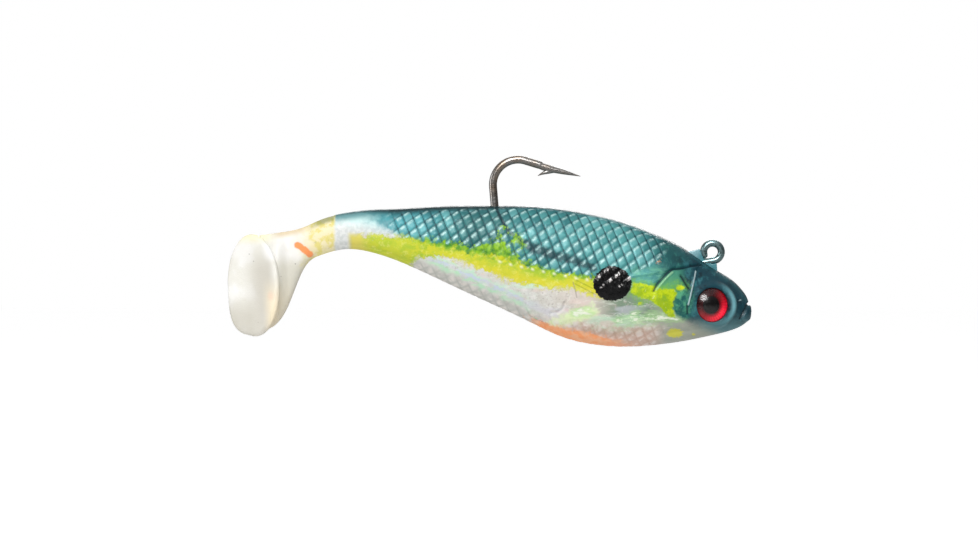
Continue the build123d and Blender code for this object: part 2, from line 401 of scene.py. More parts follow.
def lowest(x):
    """Height of the belly's edge at each place along the fish."""
    return spline(-rows[1:-4, 0], rows[1:-4, 2])(-x)


def paint_marks(x, z, laid, ridge, made):
    """The distances and amounts, by name, that the paint reads. Distances are in mm, positive inside."""
    blobs = [inside(x, z, BLOB)] + [oval(x, z, (a, b), (c, d)) for a, b, c, d in BLOB_DABS]
    drips = [oval(x, z, (a, b), (r, 1.3 * r)) for a, b, r in GREEN_DRIPS]
    shank, along = to_line(x, z, SHANK)
    eye_x, eye_z = x - ORBIT_MIDDLE[0], z - ORBIT_MIDDLE[1]
    scales = made["crisp"]
    over_spot = ease(-0.5, 0.0, oval(x, z, SPOT, SPOT_HALF)) * ease(-7.4, -6.4, z)
    shank_from, shank_soft = np.interp(along, *zip(*SHANK_HALF)), np.interp(along, [0.4, 0.6], [0.35, 1.0])
    marks = {name: to_line(x, z, line)[0] for name, line in MARKED_LINES.items()}
    marks |= {
        "teal": z - np.interp(x, *zip(*TEAL_LOW)),
        "stripe": np.maximum.reduce([inside(x, z, STRIPE_TOP + STRIPE_LOW)] + drips),
        "green": np.maximum.reduce([z - np.interp(x, *zip(*GREEN_LINE))] + drips),
        "blob": np.maximum.reduce(blobs),
        "spot": oval(x, z, SPOT, SPOT_HALF),
        "below": z - lowest(x),
        "back": ridge - laid,
        "groove": scales * ease(0.6, 0.1, made["dome"]) * (0.6 + 0.4 * made["steep"]),
        "facet": scales * made["facet"],
        # the crest of each scale, where highlights are painted, over the spot as well
        "crest": np.maximum(scales, over_spot) * made["crest"],
        # tops of the belly's soft scales, where highlights are painted, and the pits between, where shade is
        # painted
        "pebble_highlight": made["soft"] * made["dome"] ** 2,
        "pit_shade": made["soft"] * ease(0.35, 0.0, made["dome"]),
        "dots": made["dots"],
        "slit": np.minimum(to_line(x, z, CHEEK_SLIT)[0], to_line(x, z, CHEEK_BACK)[0]),
        "cover": inside(x, z, GILL + [(-12.0, -9.5), (-8.5, -9.5), (-4.6, -6.0), (-3.7, -3.9)]),
        "glint": -np.minimum.reduce([to_line(x, z, g)[0] for g in GLINTS]),
        "dash": DASH_HALF - to_line(x, z, ORANGE_DASH)[0],
        "fleck": oval(x, z, FLECK, FLECK_HALF),
        "shank": (shank - shank_from) / shank_soft,
        # a crescent on the eye's rim where a highlight is painted
        "orbit_highlight": hump(4.1, 0.75, np.hypot(eye_x, eye_z)) * hump(0.1, 1.5, np.arctan2(eye_z, eye_x)),
        "scores": np.minimum(*(to_line(x, z, line)[0] for line in SCORES)),
        "flush": np.hypot((x - FLUSH[0]) * 1.1, (z - FLUSH[1]) * 0.8),
        "nostril": np.hypot(x - NOSTRIL[0] - 0.1, z - NOSTRIL[1] - 0.1),
    }
    return marks


# --- meshes ---------------------------------------------------------------------------------------
def linked(name, data):
    """A new object in the scene that shows the given data."""
    item = bpy.data.objects.new(name, data)
    bpy.context.scene.collection.objects.link(item)
    return item


def make_object(name, points, faces, normals=None, marks=None):
    """A mesh object from points in millimetres, smooth, with its rest place and paint marks stored on it."""
    mesh = bpy.data.meshes.new(name)
    mesh.from_pydata((points * MM).tolist(), [], faces)
    mesh.update()
    mesh.shade_smooth()
    store(mesh, points, marks or {})
    if normals is not None:
        mesh.normals_split_custom_set_from_vertices(normals.tolist())
    return linked(name, mesh)


def store(mesh, points, marks):
    """Writes the rest place in millimetres, and each mark, as point attributes."""
    rest = mesh.attributes.new("rest", "FLOAT_VECTOR", "POINT")
    rest.data.foreach_set("vector", points.astype(np.float32).ravel())
    for key, values in marks.items():
        layer = mesh.attributes.new(key, "FLOAT", "POINT")
        layer.data.foreach_set("value", np.asarray(values, np.float32).ravel())


def ring_faces(rings, count):
    """Quads that join rings of count points each."""
    i, j = np.meshgrid(np.arange(rings - 1), np.arange(count), indexing="ij")
    a, b = i * count + j, i * count + (j + 1) % count
    return np.stack([a, b, b + count, a + count], 2).reshape(-1, 4).tolist()


def tube_faces(rings, count):
    """Quads that join rings of points, and a flat face over each end."""
    last = (rings - 1) * count
    return ring_faces(rings, count) + [list(range(count))[::-1], [last + j for j in range(count)]]


def casting_surface(stations, angles):
    """Relief points, normals and paint marks of the casting over the given stations."""
    smooth, middle, tall, half = section_points(stations, angles)
    normals = grid_normals(smooth)
    laid, ridge = unrolled(angles, middle, tall, half)
    ridge = np.broadcast_to(ridge, laid.shape)
    x, z = smooth[..., 0], smooth[..., 2]
    out, made = relief(x, z, laid, ridge)
    marks = paint_marks(x, z, laid, ridge, made)
    points = smooth + normals * out[..., None]
    sink_eyes(points, normals)
    return points, grid_normals(points), marks


def casting_skins():
    """The painted skin in two pieces, body and stem, that share the ring at their seam."""
    total = run[-1]
    stations = np.concatenate([np.linspace(0.02, 1.0, 9), np.arange(1.0 + STEP, total, STEP)])
    along = outline_at(stations)[:, 0]
    stations = stations[along > TAIL_SEAM - STEP]
    along = outline_at(stations)[:, 0]
    seam = int(np.argmin(np.abs(along - REAR_SEAM)))
    angles = ring_angles(AROUND)
    points, normals, marks = casting_surface(stations, angles)
    found = []
    for name, first, last in (("body_skin", 0, seam), ("stem_skin", seam, len(stations) - 1)):
        cut = slice(first, last + 1)
        p, n = points[cut].reshape(-1, 3), normals[cut].reshape(-1, 3)
        m = {key: value[cut].ravel() for key, value in marks.items()}
        faces = ring_faces(last + 1 - first, AROUND)
        if first == 0:
            tip = p[:AROUND].mean(0)
            p, n = np.vstack([p, tip]), np.vstack([n, [1.0, 0.0, 0.0]])
            m = {key: np.append(value, value[:AROUND].mean()) for key, value in m.items()}
            faces += [[(j + 1) % AROUND, j, len(p) - 1] for j in range(AROUND)]
        found.append(make_object(name, p, faces, n, m))
    return found


# --- tail: wrist, web and paddle as one moulding ----------------------------------------------------
TAIL_VOXEL = 0.17
SEAM_LAP = 0.03              # how far the tail reaches in front of its seam
PADDLE_THICK, PADDLE_DISH = 1.7, 0.55
WEB_ROOT = 1.5               # how far the web thickens where it meets the near half of the paddle


def temporary(name, points, faces):
    """A bare mesh object to work on, with its faces turned outwards."""
    mesh = bpy.data.meshes.new(name)
    mesh.from_pydata(points.tolist(), [], faces)
    mesh.update()
    fix_outward(mesh)
    return linked(name, mesh)


def web_mesh():
    """A closed loft of the wrist and the web behind it, in millimetres."""
    along = outline_at(np.linspace(run[14], run[-1], 900))
    stations = np.linspace(run[14], run[-1], 900)[along[:, 0] < TAIL_SEAM + 1.5]
    stations = stations[::4]
    angles = ring_angles(64)
    points = section_points(stations, angles)[0]
    root = WEB_ROOT * hump(-85.0, 2.5, points[..., 0]) * np.maximum(np.cos(angles), 0)[None] ** 2
    points[..., 1] -= root
    count = len(angles)
    flat = points.reshape(-1, 3)
    faces = ring_faces(len(stations), count)
    ends = np.array([points[0].mean(0), points[-1].mean(0)])
    first, last = len(flat), len(flat) + 1
    faces += [[(j + 1) % count, j, first] for j in range(count)]
    base = (len(stations) - 1) * count
    faces += [[base + j, base + (j + 1) % count, last] for j in range(count)]
    return np.vstack([flat, ends]), faces


def paddle_mesh(rings=26, count=96):
    """A closed, slightly dished oval with a rounded rim, in millimetres."""
    turn = radians(PADDLE_TURN)
    rear = np.array([-cos(turn), -sin(turn), 0.0])
    across = np.array([sin(turn), -cos(turn), 0.0])
    up = np.array([0.0, 0.0, 1.0])
    around = np.linspace(0, 2 * pi, count, endpoint=False)
    profile = []
    for i in range(rings):
        share = i / (rings - 1)
        swing = pi * share
        reach = abs(sin(swing)) ** 0.42 if 0 < share < 1 else 0.02
        thick = PADDLE_THICK / 2 * np.sign(cos(swing)) * abs(cos(swing)) ** 0.8
        profile.append((reach, thick * (0.72 + 0.35 * reach**3)))
    tilt = radians(PADDLE_LEAN)
    fuller = 1 + PADDLE_FULLER * hump(radians(218), radians(40), around)
    points = []
    for reach, thick in profile:
        u = PADDLE_HALF[0] * reach * fuller * np.cos(around)
        v = PADDLE_HALF[1] * reach * fuller * np.sin(around)
        a, b = u * cos(tilt) - v * sin(tilt), u * sin(tilt) + v * cos(tilt)
        depth = thick - PADDLE_DISH * (1 - reach**2) * 0.8 + 0.25 * PADDLE_DISH
        points.append(np.array(PADDLE_CENTRE) + a[:, None] * across + b[:, None] * up + depth * rear)
    return np.vstack(points), tube_faces(rings, count)


def tail_skin():
    """The clear tail, fused from web and paddle and smoothed where they meet."""
    blank = join([temporary("web", *web_mesh()), temporary("paddle", *paddle_mesh())], "tail_blank")
    fuse = blank.modifiers.new("fuse", "REMESH")
    fuse.mode, fuse.voxel_size = "VOXEL", TAIL_VOXEL
    soften = blank.modifiers.new("soften", "SMOOTH")
    soften.factor, soften.iterations = 0.5, 26
    blank = applied(blank)
    work = bmesh.new()
    work.from_mesh(blank.data)
    everything = work.verts[:] + work.edges[:] + work.faces[:]
    seam = (TAIL_SEAM + SEAM_LAP, 0, 0)
    bmesh.ops.bisect_plane(work, geom=everything, plane_co=seam, plane_no=(1, 0, 0), clear_outer=True)
    work.to_mesh(blank.data)
    work.free()
    points = mesh_points(blank.data)
    faces = [list(face.vertices) for face in blank.data.polygons]
    bpy.data.objects.remove(blank)
    x, _, z = points.T
    ridge = spline(run, rows[:, 1])(np.interp(-x, -rows[:, 0], run))
    marks = paint_marks(x, z, z, ridge, dict.fromkeys(MADE, np.zeros(x.shape)))
    return make_object("tail_skin", points, faces, None, marks)


def mesh_points(mesh):
    """The mesh's points as an array, in its own units."""
    co = np.zeros(len(mesh.vertices) * 3, np.float32)
    mesh.vertices.foreach_get("co", co)
    return co.reshape(-1, 3).astype(float)


def fix_outward(mesh):
    """Turns every face of a closed mesh outwards."""
    work = bmesh.new()
    work.from_mesh(mesh)
    bmesh.ops.recalc_face_normals(work, faces=work.faces[:])
    work.to_mesh(mesh)
    work.free()


def join(items, name):
    """One object from several, at the first one's place."""
    work = bmesh.new()
    for item in items:
        work.from_mesh(item.data)
    mesh = bpy.data.meshes.new(name)
    work.to_mesh(mesh)
    work.free()
    for item in items:
        bpy.data.objects.remove(item)
    return linked(name, mesh)


def applied(item):
    """The object with its modifiers applied."""
    bpy.context.view_layer.update()
    mesh = bpy.data.meshes.new_from_object(item.evaluated_get(bpy.context.evaluated_depsgraph_get()))
    item.modifiers.clear()
    item.data = mesh
    return item


# --- swept and turned pieces ------------------------------------------------------------------------
WIRE_R, EYE_RING_R = 0.70, 1.72
SHANK_POINTS = [(0.3, -1.69), (-3.4, -2.3), (-9.2, -7.4), (-42.0, 2.85), (-43.4, 19.9), (-33.4, 16.85)]
SHANK_RADII = [3.0, 3.0, 9.0, 4.9]
POINT_RUN = [
    (-33.4, 16.75, 0.68, 0.60), (-32.2, 16.35, 0.72, 0.58), (-30.9, 16.02, 0.62, 0.52),
    (-28.7, 15.5, 0.44, 0.38), (-25.75, 14.76, 0.04, 0.04),
]
BARB_RUN = [
    (-30.9, 15.85, 0.42, 0.40), (-32.2, 15.62, 0.42, 0.36), (-33.2, 15.3, 0.26, 0.26),
    (-34.1, 14.84, 0.03, 0.05),
]


def rounded(points, radii, pitch=0.25):
    """A run of points in the middle plane with its corners turned into arcs."""
    points = [np.array(p) for p in points]
    path = [points[0]]
    for before, corner, after, radius in zip(points, points[1:], points[2:], radii):
        back, on = before - corner, after - corner
        back, on = back / np.linalg.norm(back), on / np.linalg.norm(on)
        half = np.arccos(np.clip(back @ on, -1, 1)) / 2
        middle = corner + (back + on) / np.linalg.norm(back + on) * radius / sin(half)
        first, last = (corner + d * radius / np.tan(half) for d in (back, on))
        a, b = (np.arctan2(*(p - middle)[::-1]) for p in (first, last))
        b = a + (b - a + pi) % (2 * pi) - pi
        turn = np.linspace(a, b, max(3, int(abs(b - a) * radius / pitch)))
        path += [middle + radius * np.array([cos(t), sin(t)]) for t in turn]
    return np.array(path + [points[-1]])


def even(path, pitch):
    """The path's points spread out evenly."""
    length = np.concatenate([[0], np.cumsum(np.linalg.norm(np.diff(path, axis=0), axis=1))])
    at = np.linspace(0, length[-1], int(length[-1] / pitch) + 1)
    return np.stack([np.interp(at, length, path[:, k]) for k in range(path.shape[1])], 1)


def sweep(path, count=28):
    """A closed tube in the middle plane. Each row of path is x, z, radius in the plane and across it."""
    along = np.gradient(path[:, :2], axis=0)
    along /= np.linalg.norm(along, axis=1, keepdims=True)
    side = np.stack([-along[:, 1], along[:, 0]], 1)
    swing = np.arange(count) / count * 2 * pi
    flat = path[:, None, :2] + side[:, None] * (np.cos(swing)[None] * path[:, 2:3])[..., None]
    y = np.sin(swing)[None] * path[:, 3:4]
    points = np.stack([flat[..., 0], y, flat[..., 1]], 2).reshape(-1, 3)
    return points, tube_faces(len(path), count)


def hook_piece():
    """The bent wire: loop, shank, forged bend, barb and needle point."""
    swing = np.radians(np.arange(222, -81, -4))
    loop = EYE_RING_R * np.stack([np.cos(swing), np.sin(swing)], 1)
    shank = even(np.vstack([loop[:-1], rounded(SHANK_POINTS, SHANK_RADII)]), 0.22)
    x, z = shank.T
    forged = ease(-41.0, -43.0, x) * ease(1.0, 8.0, z) * ease(16.9, 18.0, z + 0.26 * (x + 33.4))
    forged = 0.08 * np.maximum(forged, ease(3.0, 9.0, z))
    thick = WIRE_R * (0.55 + 0.45 * np.clip(np.arange(len(shank)) / 3, 0, 1) ** 0.5)
    body = np.column_stack([shank, thick + forged, thick - forged])
    point = even(smoothed(np.array(POINT_RUN)), 0.15)
    wire = sweep(np.vstack([body[:-1], point]))
    barb = sweep(even(smoothed(np.array(BARB_RUN)), 0.1), 20)
    points = np.vstack([wire[0], barb[0]])
    faces = wire[1] + [[i + len(wire[0]) for i in face] for face in barb[1]]
    item = make_object("hook_wire", points, faces)
    fix_outward(item.data)
    item.data.shade_smooth()
    return item


def smoothed(points, per=8):
    """A finer run of points on a smooth curve through a few."""
    knots = np.arange(len(points))
    return spline(knots, points)(np.linspace(0, len(points) - 1, per * (len(points) - 1) + 1))


LIT_FROM, SPOKES = 0.8, 32   # where the painted light on the iris is brightest, in radians, and its number of spokes


def turned(name, sign, profile, count=192):
    """A round piece on an eye's axis. profile is a closed run of radius and height above the eye's plane."""
    centre, look, ahead, up = eye_frame(sign)
    swing = np.arange(count) / count * 2 * pi
    circle = np.cos(swing)[:, None] * ahead + np.sin(swing)[:, None] * up
    points = np.vstack([centre + radius * circle + height * look for radius, height in profile])
    radius = np.repeat([r for r, _ in profile], count)
    around = np.tile(swing, len(profile))
    marks = {"radius": radius, "lit_side": np.cos(around + LIT_FROM), "spokes": np.cos(around * SPOKES)}
    item = make_object(name, points, tube_faces(len(profile), count), None, marks)
    fix_outward(item.data)
    return item


PUPIL_R = 1.72
IRIS_PROFILE = [
    (0.02, -0.3), (3.2, -0.3), (3.36, -0.1), (3.38, 0.36), (3.3, 0.42), (3.12, 0.38), (2.6, 0.16),
    (2.1, 0.0), (PUPIL_R + 0.04, -0.08), (PUPIL_R, -0.02), (PUPIL_R - 0.1, 0.04), (1.1, 0.09), (0.5, 0.11),
    (0.02, 0.12),
]


def lens_profile():
    """A flat back that fits over the iris, and a domed front."""
    ball = (EYE_R**2 + LENS_HIGH**2) / (2 * LENS_HIGH)
    edge = np.arcsin(EYE_R / ball)
    top = IRIS_THICK + LENS_HIGH
    dome = [(ball * sin(a), top - ball * (1 - cos(a))) for a in np.linspace(edge, 0.004, 26)]
    return [(0.02, 0.36), (2.0, 0.36), (EYE_R - 0.1, IRIS_THICK - 0.02), (EYE_R, IRIS_THICK)] + dome


FOIL_FRONT, FOIL_TURN, FOIL_LONG = (-6.0, 4.6), 3.2, 39.0
FOIL_TOP = [(-39.0, 2.6), (-16.0, -2.6), (0.0, -4.5)]
FOIL_BOTTOM = [(-39.0, 2.5), (-36.0, -4.2), (-16.0, -12.2), (0.0, -9.5)]


def foil_piece(name, sign, long=150, high=44):
    """A crinkled sheet of holographic film beside the ballast."""
    turn = radians(FOIL_TURN)
    a = np.linspace(-FOIL_LONG, 0, long)
    top, bottom = spline(*zip(*FOIL_TOP))(a), spline(*zip(*FOIL_BOTTOM))(a)
    share = np.linspace(0, 1, high)
    z = bottom[:, None] + (top - bottom)[:, None] * share[None]
    a = np.broadcast_to(a[:, None], z.shape)
    crinkle = np.array([
        noise.noise((u * 0.55, v * 0.8, 3.0 * sign)) + 0.5 * abs(noise.noise((u * 1.3, v * 1.1, 9.0)))
        for u, v in zip(a.ravel(), z.ravel())
    ]).reshape(z.shape)
    out = 0.28 * crinkle * ease(-FOIL_LONG, -FOIL_LONG + 4, a)
    x = FOIL_FRONT[0] + a * cos(turn) - out * sin(turn)
    y = sign * (FOIL_FRONT[1] + a * sin(turn) + out * cos(turn))
    points = np.stack([x, y, z], 2).reshape(-1, 3)
    i, j = np.meshgrid(np.arange(long - 1), np.arange(high - 1), indexing="ij")
    first = i * high + j
    faces = np.stack([first, first + 1, first + high + 1, first + high], 2).reshape(-1, 4).tolist()
    item = make_object(name, points, faces)
    thick = item.modifiers.new("film", "SOLIDIFY")
    thick.thickness, thick.offset = 0.1 * MM, 0
    return applied(item)


LUG = [
    (-6.2, 0.0), (-4.9, 0.1), (-3.9, 0.25), (-2.5, 0.6), (-2.1, -0.6), (-1.5, -1.9), (0.0, -2.35),
    (0.8, -2.2), (0.95, -4.4), (-6.2, -3.5),
]
LUG_HALF = 0.65


def lug_piece():
    """The thin web of plastic that the line tie's strand runs in."""
    count = len(LUG)
    points = np.array([(x, side * LUG_HALF, z) for side in (-1, 1) for x, z in LUG])
    faces = [list(range(count)), [count + j for j in range(count)][::-1]]
    faces += [[j, j + count, (j + 1) % count + count, (j + 1) % count] for j in range(count)]
    item = temporary("tie_lug", points * MM, faces)
    edge = item.modifiers.new("edge", "BEVEL")
    edge.width, edge.segments = 0.22 * MM, 4
    item = applied(item)
    points = mesh_points(item.data) / MM
    faces = [list(face.vertices) for face in item.data.polygons]
    bpy.data.objects.remove(item)
    return make_object("tie_lug", points, faces)


# --- materials ----------------------------------------------------------------------------------------
def colour(red, green, blue):
    """A display colour, each part from 0 to 255, as the linear colour that a shader takes."""
    parts = [v / 255 for v in (red, green, blue)]
    return [v / 12.92 if v <= 0.04045 else ((v + 0.055) / 1.055) ** 2.4 for v in parts] + [1.0]


class Value:
    """A number that varies over a surface. Arithmetic on it adds the nodes that work out the result."""

    def __init__(self, recipe, socket):
        self.recipe, self.socket = recipe, socket

    def __add__(self, other):
        return self.recipe.math("ADD", self, other)

    def __sub__(self, other):
        return self.recipe.math("SUBTRACT", self, other)

    def __rsub__(self, other):
        return self.recipe.math("SUBTRACT", other, self)

    def __mul__(self, other):
        return self.recipe.math("MULTIPLY", self, other)

    def __abs__(self):
        return self.recipe.math("ABSOLUTE", self)

    def ease(self, low, high, after=1.0, before=0.0):
        """before up to low, after beyond high, smooth between. low may be the larger."""
        feeds = {"Value": self, "From Min": low, "From Max": high, "To Min": before, "To Max": after}
        return self.recipe.number("ShaderNodeMapRange", feeds, "Result", interpolation_type="SMOOTHSTEP")


class Recipe:
    """A node material built step by step. Each step returns what the next one takes."""

    def __init__(self, owner):
        owner.use_nodes = True
        self.owner, self.tree = owner, owner.node_tree
        self.tree.nodes.clear()
        self.place = self.node("ShaderNodeAttribute", attribute_name="rest").outputs["Vector"]

    def node(self, kind, feeds=None, **settings):
        made = self.tree.nodes.new(kind)
        for key, value in settings.items():
            setattr(made, key, value)
        for key, value in (feeds or {}).items():
            self.feed(made.inputs[key], value)
        return made

    def number(self, kind, feeds=None, output=0, **settings):
        """A new node's output as a value."""
        return Value(self, self.node(kind, feeds, **settings).outputs[output])

    def feed(self, socket, value):
        value = value.socket if isinstance(value, Value) else value
        if isinstance(value, bpy.types.NodeSocket):
            self.tree.links.new(value, socket)
        else:
            socket.default_value = value

    def mark(self, name):
        return self.number("ShaderNodeAttribute", output="Fac", attribute_name=name)

    def parts(self, vector):
        """The three numbers of a vector."""
        return [Value(self, socket) for socket in self.node("ShaderNodeSeparateXYZ", {0: vector}).outputs]

    def distance(self, point):
        feeds = {0: self.place, 1: point}
        return self.number("ShaderNodeVectorMath", feeds, "Value", operation="DISTANCE")

    def math(self, operation, a, b=0.0):
        return self.number("ShaderNodeMath", {0: a, 1: b}, operation=operation)

    def most(self, first, *others):
        """The largest of several numbers."""
        for other in others:
            first = self.math("MAXIMUM", first, other)
        return first

    def mix(self, amount, a, b):
        """Colour a where amount is 0 and b where it is 1. A tuple is a display colour."""
        a, b = (colour(*tint) if isinstance(tint, tuple) else tint for tint in (a, b))
        return self.node("ShaderNodeMix", {0: amount, 6: a, 7: b}, data_type="RGBA").outputs[2]

    def coats(self, tint, layers):
        """A colour with others laid over it in turn, each an amount from 0 to 1 and a colour."""
        for amount, over in layers:
            tint = self.mix(amount, tint, over)
        return tint

    def blend(self, amount, a, b):
        """Shader a where amount is 0 and b where it is 1."""
        return self.node("ShaderNodeMixShader", {0: amount, 1: a, 2: b}).outputs[0]

    def spread(self, stretch):
        return self.node("ShaderNodeMapping", {"Vector": self.place, "Scale": stretch}).outputs["Vector"]

    def noise(self, scale, detail=2.0, stretch=(1.0, 1.0, 1.0), rough=0.5):
        """Noise from 0 to 1 in the rest shape's millimetres; scale is in features for each millimetre."""
        feeds = {"Vector": self.spread(stretch), "Scale": scale, "Detail": detail, "Roughness": rough}
        return self.number("ShaderNodeTexNoise", feeds, "Fac")

    def cells(self, scale, stretch=(1.0, 1.0, 1.0)):
        """Distance to the middle of the nearest of many scattered cells."""
        feeds = {"Vector": self.spread(stretch), "Scale": scale}
        return self.number("ShaderNodeTexVoronoi", feeds, "Distance")

    def bump(self, height, distance):
        feeds = {"Height": height, "Strength": 1.0, "Distance": distance}
        return self.node("ShaderNodeBump", feeds).outputs["Normal"]

    def finish(self, shader, output="ShaderNodeOutputMaterial"):
        self.tree.links.new(shader, self.node(output).inputs["Surface"])
        return self.owner

    def principled(self, **feeds):
        named = {key.replace("_", " "): value for key, value in feeds.items()}
        return self.node("ShaderNodeBsdfPrincipled", named).outputs["BSDF"]

    def surface(self, **feeds):
        """The finished material with one principled shader."""
        return self.finish(self.principled(**feeds))


def belly_colours(skin, x, below):
    """Pearly plastic over crinkled film: a pinkish pearl with broad soft tints, painted highlights on small
    bumps and a few folds, and painted shade in creases and along the keel.
    """
    base = skin.mix(x.ease(-36, -25), (222, 222, 216), (226, 214, 204))
    shade = x.ease(-25, -18) * below.ease(3.4, 5.5)
    film = below.ease(1.8, 3.2)
    # painted highlights on the tops of small bumps
    bump_highlights = skin.cells(0.62, (0.8, 1, 1.1)).ease(0.42, 0.12, 0.65)
    # painted shade in the film's creases
    crease = skin.noise(2.2, 3, rough=0.7).ease(0.54, 0.66, 0.45) * x.ease(-24, -31)
    base = skin.coats(base, [
        (skin.noise(0.45, 4, rough=0.65).ease(0.42, 0.66, 0.5), (206, 200, 188)),
        (shade * skin.noise(0.3, 3, (0.6, 1, 1.2)).ease(0.1, 0.45), (126, 148, 126)),
        (x.ease(-13.5, -9), (166, 172, 158)),
        (bump_highlights * film * x.ease(-26, -32), (244, 240, 236)),
        (skin.noise(1.1, 4, rough=0.7).ease(0.55, 0.7, 0.6) * film, (190, 178, 170)),
        (crease * film, (168, 160, 154)),
    ])
    clouds = [
        (0.1, (0.7, 1, 2.2), 0.52, 0.62, 0.75, (206, 238, 208)),
        (0.16, (0.6, 1, 1.9), 0.56, 0.68, 0.45, (220, 220, 234)),
        (0.22, (0.7, 1, 1.8), 0.56, 0.68, 0.6, (236, 214, 206)),
    ]
    base = skin.coats(base, [
        (skin.noise(scale, 3, stretch).ease(low, high, strength) * film * x.ease(-9, -18), tint)
        for scale, stretch, low, high, strength, tint in clouds
    ])
    # painted highlights on folds of the film
    fold_highlight = abs(skin.noise(0.32, 4, (0.45, 1, 1.5), 0.62) - 0.5)
    glow = skin.mark("glow") + (skin.noise(0.8, 3) - 0.5) * 3.4
    drift = below + (skin.noise(0.5, 5, (0.8, 1, 1.2), 0.7) - 0.5) * 4
    rear = x.ease(-33, -39) * x.ease(-57, -53)
    rear = rear * skin.noise(0.8, 3, (0.6, 1, 1)).ease(0.35, 0.6, 1, 0.3)
    base = skin.coats(base, [
        (fold_highlight.ease(0.02, 0.004, 0.35) * film * x.ease(-6, -12), (246, 252, 240)),
        (glow.ease(2, 0.3, 0.9), (238, 255, 200)),
    ])
    bands = [(3.5, 0.9, (204, 220, 236)), (2.5, 0.75, (186, 236, 196)), (4.3, 0.6, (200, 238, 210))]
    base = skin.coats(base, [
        (abs(drift - height).ease(half, 0.1, 0.85) * rear, tint) for height, half, tint in bands
    ])
    # painted shade along the keel, darker still at the belly's bottom edge
    keel_shade = below.ease(2.4, 1.2) * x.ease(-33, -38)
    return skin.coats(base, [
        (keel_shade * 0.7, (188, 190, 182)),
        (below.ease(0.7, 0.1, 0.45), (164, 164, 156)),
    ])


def throat_colours(skin, x, below, ragged, base):
    """The blush under the throat, painted highlights and shade on the belly's soft scales, and the orange
    line along the deepest part of the belly.
    """
    edge = below + ragged * 0.9
    blush = edge.ease(4.8, 2.6) * (x.ease(-30, -24) * x.ease(-8.5, -13.5))
    height = x.ease(-33, -27, 2.2, 1.3) - x.ease(-25, -14, 1.5)
    band = (below + ragged * 0.45 - height).ease(0.55, -0.55)
    rear = (x + ragged * 1.6).ease(-37, -33.6)
    band = band * (rear * x.ease(-12, -20))
    base = skin.coats(base, [
        (blush * 0.8, (202, 160, 138)),
        # painted highlights on the tops of the belly's soft scales, painted shade in the pits between them
        (skin.mark("pebble_highlight") * skin.noise(0.8, 2).ease(0.4, 0.6, 0.65, 0.15), (248, 240, 232)),
        (skin.mark("pit_shade") * 0.15, (150, 134, 126)),
    ])
    orange = skin.mix(x.ease(-24, -16), (255, 164, 104), (252, 176, 140))
    orange = skin.mix(skin.noise(0.6, 3).ease(0.4, 0.65, 0.7), orange, (255, 196, 152))
    return skin.mix(band, base, orange)


def teal_colours(skin, x, z):
    """Metallic teal over the back, darker on the head, thin on the stem, with painted highlights on the scale
    crests and painted shadows of the hook and its shank.
    """
    teal = skin.mix(skin.noise(0.12, 2).ease(0.35, 0.65), (58, 134, 135), (74, 152, 152))
    # painted shadow of the hook where it leaves the back
    hook_shadow = x.ease(-52, -47) * x.ease(-37, -42)
    front = x.ease(-30, -25) * x.ease(-11, -14)
    shoulder = x.ease(-17.5, -14.5) * x.ease(-8.5, -11) * z.ease(-1.8, -4.2)
    shoulder = shoulder * skin.noise(0.8, 4, (0.7, 1, 1.6), 0.65).ease(0.38, 0.62, 0.75, 0.1)
    streak = skin.noise(0.5, 4, (2, 1, 0.7), 0.7).ease(0.5, 0.7, 0.7)
    cloud = skin.noise(0.42, 4, (1.2, 1, 0.9), 0.65).ease(0.48, 0.66, 0.75)
    chin = x.ease(-6, -1) * z.ease(-11.5, -14.5)
    murk = skin.noise(0.5, 4, (1, 1, 1.3), 0.65).ease(0.5, 0.36, 0.8) * z.ease(-14, -11)
    # painted highlights along the crest of each scale
    crest = skin.mark("crest") * skin.noise(1.6, 4, rough=0.75).ease(0.36, 0.6, 0.92, 0.2)
    # painted shadow of the hook's shank showing through the plastic
    through = (skin.mark("shank") + (skin.noise(1.4, 3) - 0.5) * 1.4).ease(0.6, -0.3, 0.8)
    fade = (x + (skin.noise(0.5, 3) - 0.5) * 8).ease(-63, -69.5, 0.8)
    fade = fade * skin.mark("back").ease(1.6, 3.6, 1.2, 0.25)
    return skin.coats(teal, [
        (x.ease(-50, -60, 0.7), (76, 172, 184)),
        (skin.noise(0.5, 3).ease(0.42, 0.7, 0.5), (40, 112, 120)),
        (hook_shadow * 0.75, (24, 88, 88)),
        (front * 0.25, (104, 180, 178)),
        (x.ease(-13.5, -8.5), (20, 82, 84)),
        (shoulder, (112, 188, 152)),
        (streak * x.ease(-15, -9), (58, 132, 122)),
        (x.ease(-6.8, -3.4), (14, 62, 74)),
        (cloud * x.ease(-8, -4), (56, 122, 130)),
        (x.ease(0.5, 4, 0.7), (12, 50, 60)),
        (chin * 0.75, (92, 136, 142)),
        (murk * x.ease(-10, -5), (6, 34, 44)),
        (skin.mark("back").ease(4, 1.8, 0.55), (26, 88, 96)),
        (skin.mark("facet").ease(0, 1) * 0.4, (122, 192, 194)),
        (skin.mark("facet").ease(0, -1) * 0.4, (26, 92, 98)),
        (skin.mark("groove") * 0.95, (8, 56, 64)),
        (crest, (200, 236, 232)),
        (through * crest.ease(0, 0.8, 0.5, 1), (16, 48, 56)),
        (fade, (206, 236, 232)),
    ])


